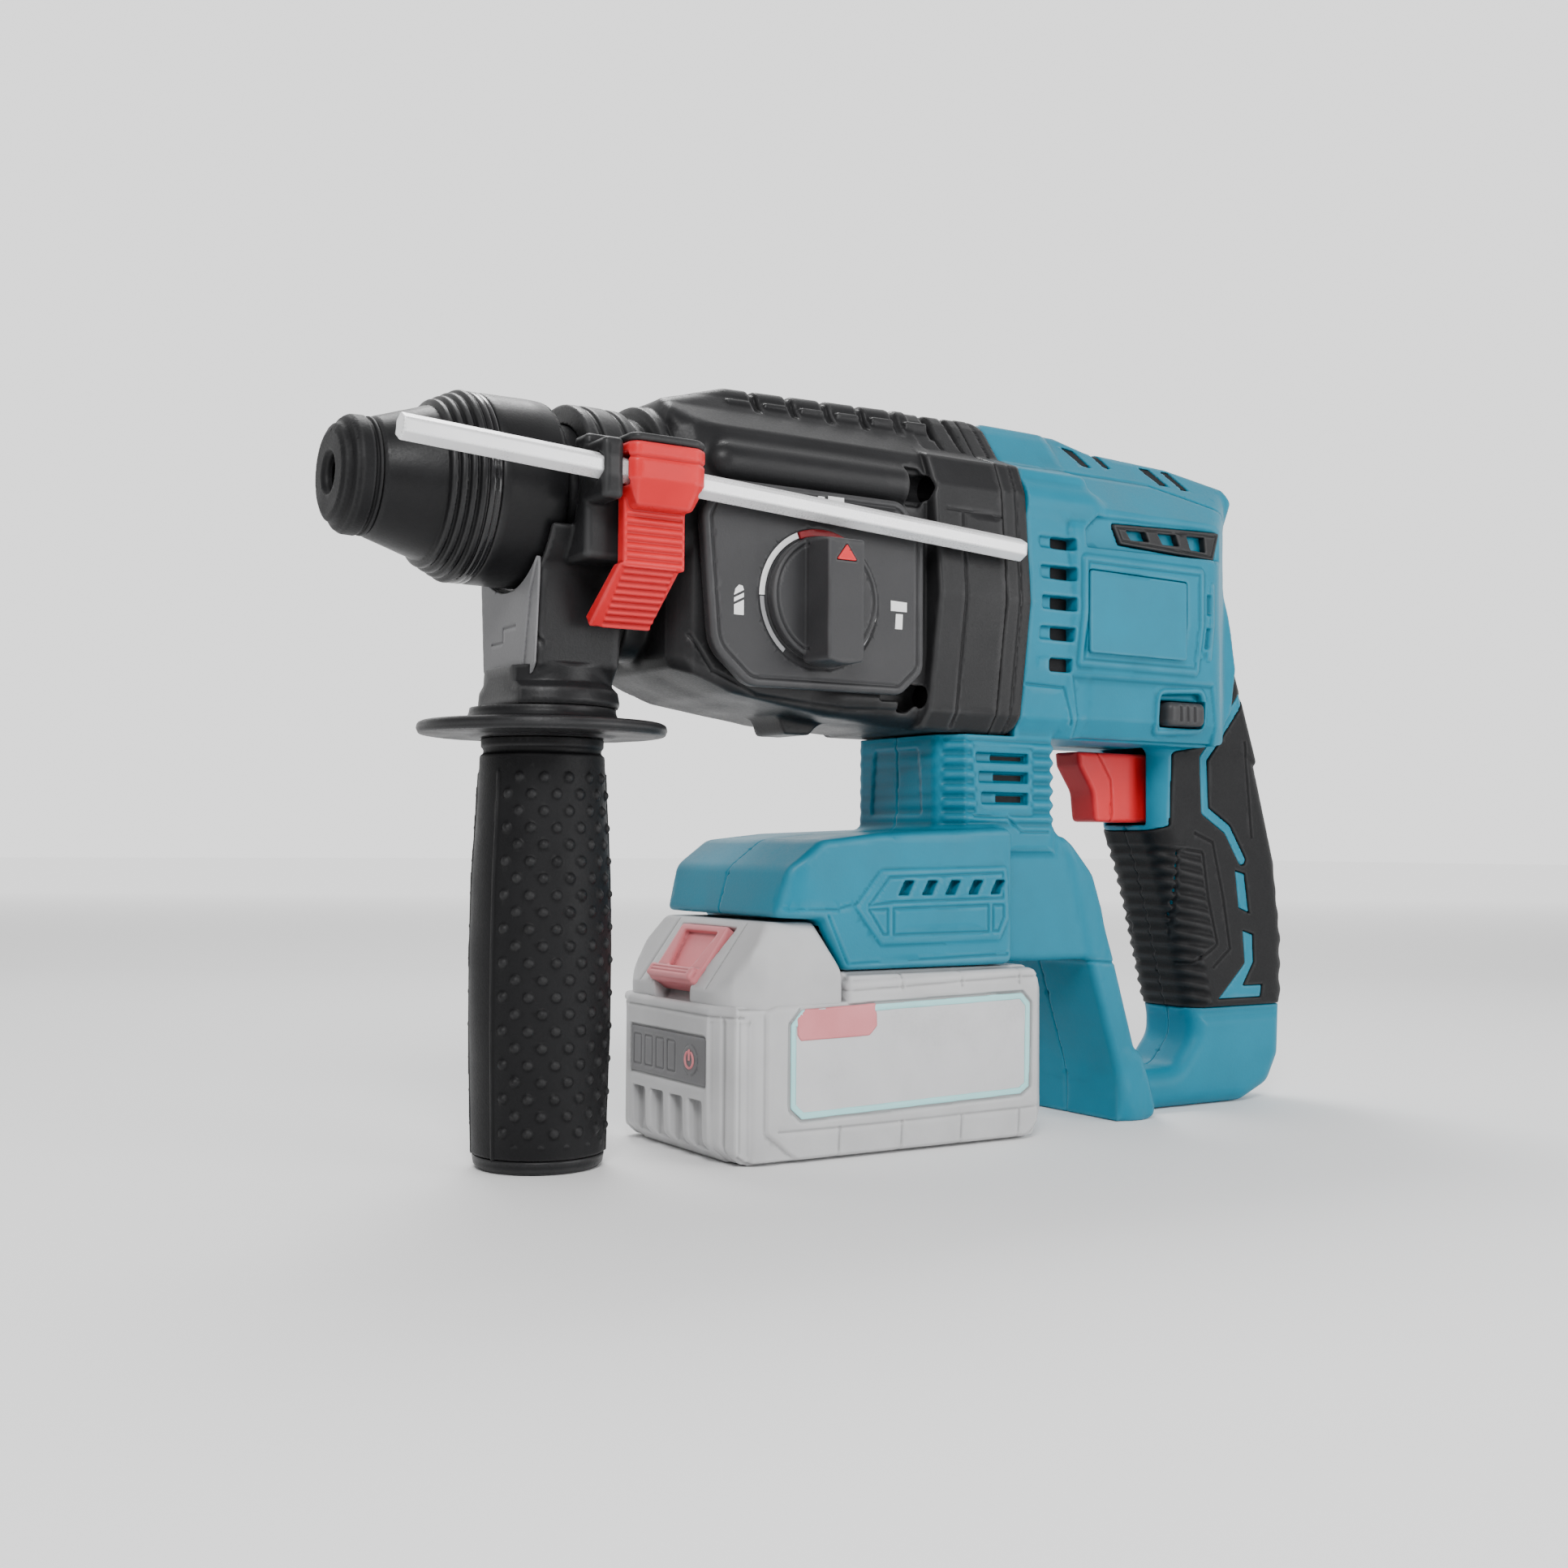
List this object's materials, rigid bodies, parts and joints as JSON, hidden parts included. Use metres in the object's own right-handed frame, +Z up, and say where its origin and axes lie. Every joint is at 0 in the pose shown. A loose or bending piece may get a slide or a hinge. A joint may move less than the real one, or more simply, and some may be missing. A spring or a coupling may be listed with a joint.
{
  "type": "rotary hammer",
  "caption": "Cordless rotary hammer with keyless bit holder, mode knob, D-handle, guarded side handle, depth rod and slide-on battery under its base.",
  "frame": {"origin": "mouth of the tool bore, on the spindle axis", "axes": "+X to the rear along the spindle axis, +Z up, the mode knob on the -Y side"},
  "size_m": [0.356, 0.0882, 0.233],
  "materials": {
    "black_plastic": "satin moulded",
    "black_rubber": "matte",
    "dark_gloss_plastic": "semi-gloss",
    "grey_plastic": "satin",
    "teal_plastic": "fine moulded texture",
    "red_plastic": "satin",
    "pale_plastic": "satin",
    "pink_plastic": "satin",
    "label_film": "film",
    "bright_steel": "bright",
    "hardened_steel": "ground",
    "lamination_steel": "laminated",
    "copper_winding": "enamelled",
    "potted_board": "potted",
    "cell_wrap": "wrapped",
    "contact_brass": "plated"
  },
  "bodies": {
    "tool": {"gear_case": "black_plastic", "gear_case_ring": "black_plastic", "mode_panel": "black_plastic", "gear_case_screws": "bright_steel", "spindle_bearings": "hardened_steel", "shaft_bearings": "hardened_steel", "motor_bearings": "hardened_steel", "motor_stator": "copper_winding", "switch_module": "dark_gloss_plastic", "controller_board": "potted_board", "terminal_block": "dark_gloss_plastic", "housing_left": "teal_plastic", "housing_right": "teal_plastic", "grip_overmould": "black_rubber", "side_vent_inserts": "dark_gloss_plastic", "top_vent_insert": "dark_gloss_plastic", "badge_plates": "teal_plastic", "housing_screws": "bright_steel"},
    "spindle_unit": {"spindle": "bright_steel", "spindle_gear": "hardened_steel", "dust_cap": "black_rubber", "locking_balls": "bright_steel", "sleeve_spring": "bright_steel"},
    "sleeve_unit": {"lock_sleeve": "dark_gloss_plastic", "sleeve_band": "dark_gloss_plastic"},
    "shaft_unit": {"intermediate_shaft": "bright_steel", "intermediate_gear": "hardened_steel", "intermediate_pinion": "hardened_steel", "wobble_hub": "hardened_steel"},
    "rotor_unit": {"rotor_shaft": "bright_steel", "rotor_core": "lamination_steel", "rotor_magnets": "lamination_steel", "cooling_fan": "dark_gloss_plastic", "motor_pinion": "hardened_steel"},
    "wobble_unit": {"wobble_ring": "hardened_steel"},
    "piston_unit": {"piston": "hardened_steel", "wrist_pin": "bright_steel"},
    "striker_unit": {"striker": "hardened_steel"},
    "impact_unit": {"impact_bolt": "hardened_steel"},
    "clamp_unit": {"clamp_ring": "black_plastic", "clamp_plate": "grey_plastic", "clamp_bolt": "bright_steel"},
    "handle_unit": {"handle_guard": "black_plastic", "handle_grip": "black_rubber", "handle_cap": "black_plastic", "handle_nut": "bright_steel"},
    "rod_unit": {"depth_rod": "bright_steel"},
    "lever_unit": {"depth_lever": "red_plastic"},
    "knob_unit": {"mode_knob": "black_plastic", "knob_insert": "red_plastic"},
    "trigger_unit": {"trigger": "red_plastic"},
    "direction_unit": {"direction_bar": "grey_plastic"},
    "battery_unit": {"battery_case": "pale_plastic", "battery_lid": "pale_plastic", "battery_cells": "cell_wrap", "battery_contacts": "contact_brass", "battery_labels": "label_film"},
    "button_unit": {"release_button": "pink_plastic"}
  },
  "joints": [
    {"name": "spindle_turn", "type": "hinge", "parent": "tool", "child": "spindle_unit", "pos_m": [0, 0, 0], "axis": [1, 0, 0], "continuous": true},
    {"name": "sleeve_pull", "type": "slide", "parent": "spindle_unit", "child": "sleeve_unit", "axis": [1, 0, 0], "range_m": [0, 0.0055], "stiffness_N_per_m": 1500, "springref_m": -0.004, "deforming": ["sleeve_spring"]},
    {"name": "shaft_turn", "type": "hinge", "parent": "tool", "child": "shaft_unit", "pos_m": [0, 0, -0.034], "axis": [1, 0, 0], "continuous": true},
    {"name": "motor_turn", "type": "hinge", "parent": "tool", "child": "rotor_unit", "pos_m": [0, 0, -0.0115], "axis": [1, 0, 0], "continuous": true},
    {"name": "wobble_swing", "type": "hinge", "parent": "tool", "child": "wobble_unit", "pos_m": [0.16, 0, -0.034], "axis": [0, 1, 0], "range_deg": [-10, 10]},
    {"name": "piston_slide", "type": "slide", "parent": "tool", "child": "piston_unit", "axis": [1, 0, 0], "range_m": [-0.0059, 0.0059]},
    {"name": "striker_slide", "type": "slide", "parent": "tool", "child": "striker_unit", "axis": [-1, 0, 0], "range_m": [0, 0.01]},
    {"name": "impact_slide", "type": "slide", "parent": "tool", "child": "impact_unit", "axis": [-1, 0, 0], "range_m": [0, 0.003]},
    {"name": "clamp_turn", "type": "hinge", "parent": "tool", "child": "clamp_unit", "pos_m": [0.075, 0, 0], "axis": [1, 0, 0], "range_deg": [-30, 0]},
    {"name": "handle_turn", "type": "hinge", "parent": "clamp_unit", "child": "handle_unit", "pos_m": [0.064, 0, -0.1], "axis": [0, 0, 1], "range_deg": [0, 360]},
    {"name": "rod_slide", "type": "slide", "parent": "clamp_unit", "child": "rod_unit", "axis": [0.9981, 0, -0.061], "range_m": [-0.085, 0.01]},
    {"name": "lever_press", "type": "slide", "parent": "clamp_unit", "child": "lever_unit", "axis": [0, 1, 0], "range_m": [0, 0.0012], "stiffness_N_per_m": 1500, "springref_m": -0.001},
    {"name": "mode_turn", "type": "hinge", "parent": "tool", "child": "knob_unit", "pos_m": [0.136, -0.04, -0.028], "axis": [0, 1, 0], "range_deg": [-90, 90]},
    {"name": "trigger_pull", "type": "slide", "parent": "tool", "child": "trigger_unit", "axis": [1, 0, 0], "range_m": [0, 0.006], "stiffness_N_per_m": 800, "springref_m": -0.003},
    {"name": "direction_shift", "type": "slide", "parent": "tool", "child": "direction_unit", "axis": [0, 1, 0], "range_m": [-0.003, 0.003]},
    {"name": "battery_slide", "type": "slide", "parent": "tool", "child": "battery_unit", "axis": [-1, 0, 0], "range_m": [0, 0.017]},
    {"name": "button_press", "type": "slide", "parent": "battery_unit", "child": "button_unit", "axis": [-0.585, 0, -0.8111], "range_m": [0, 0.004], "stiffness_N_per_m": 800, "springref_m": -0.003}
  ],
  "couplings": [
    {"joint": "shaft_turn", "follows": "spindle_turn", "ratio": -3.5333},
    {"joint": "motor_turn", "follows": "spindle_turn", "ratio": 16.096},
    {"joint": "wobble_swing", "follows": "piston_slide", "rad_per_m": 29.4}
  ]
}
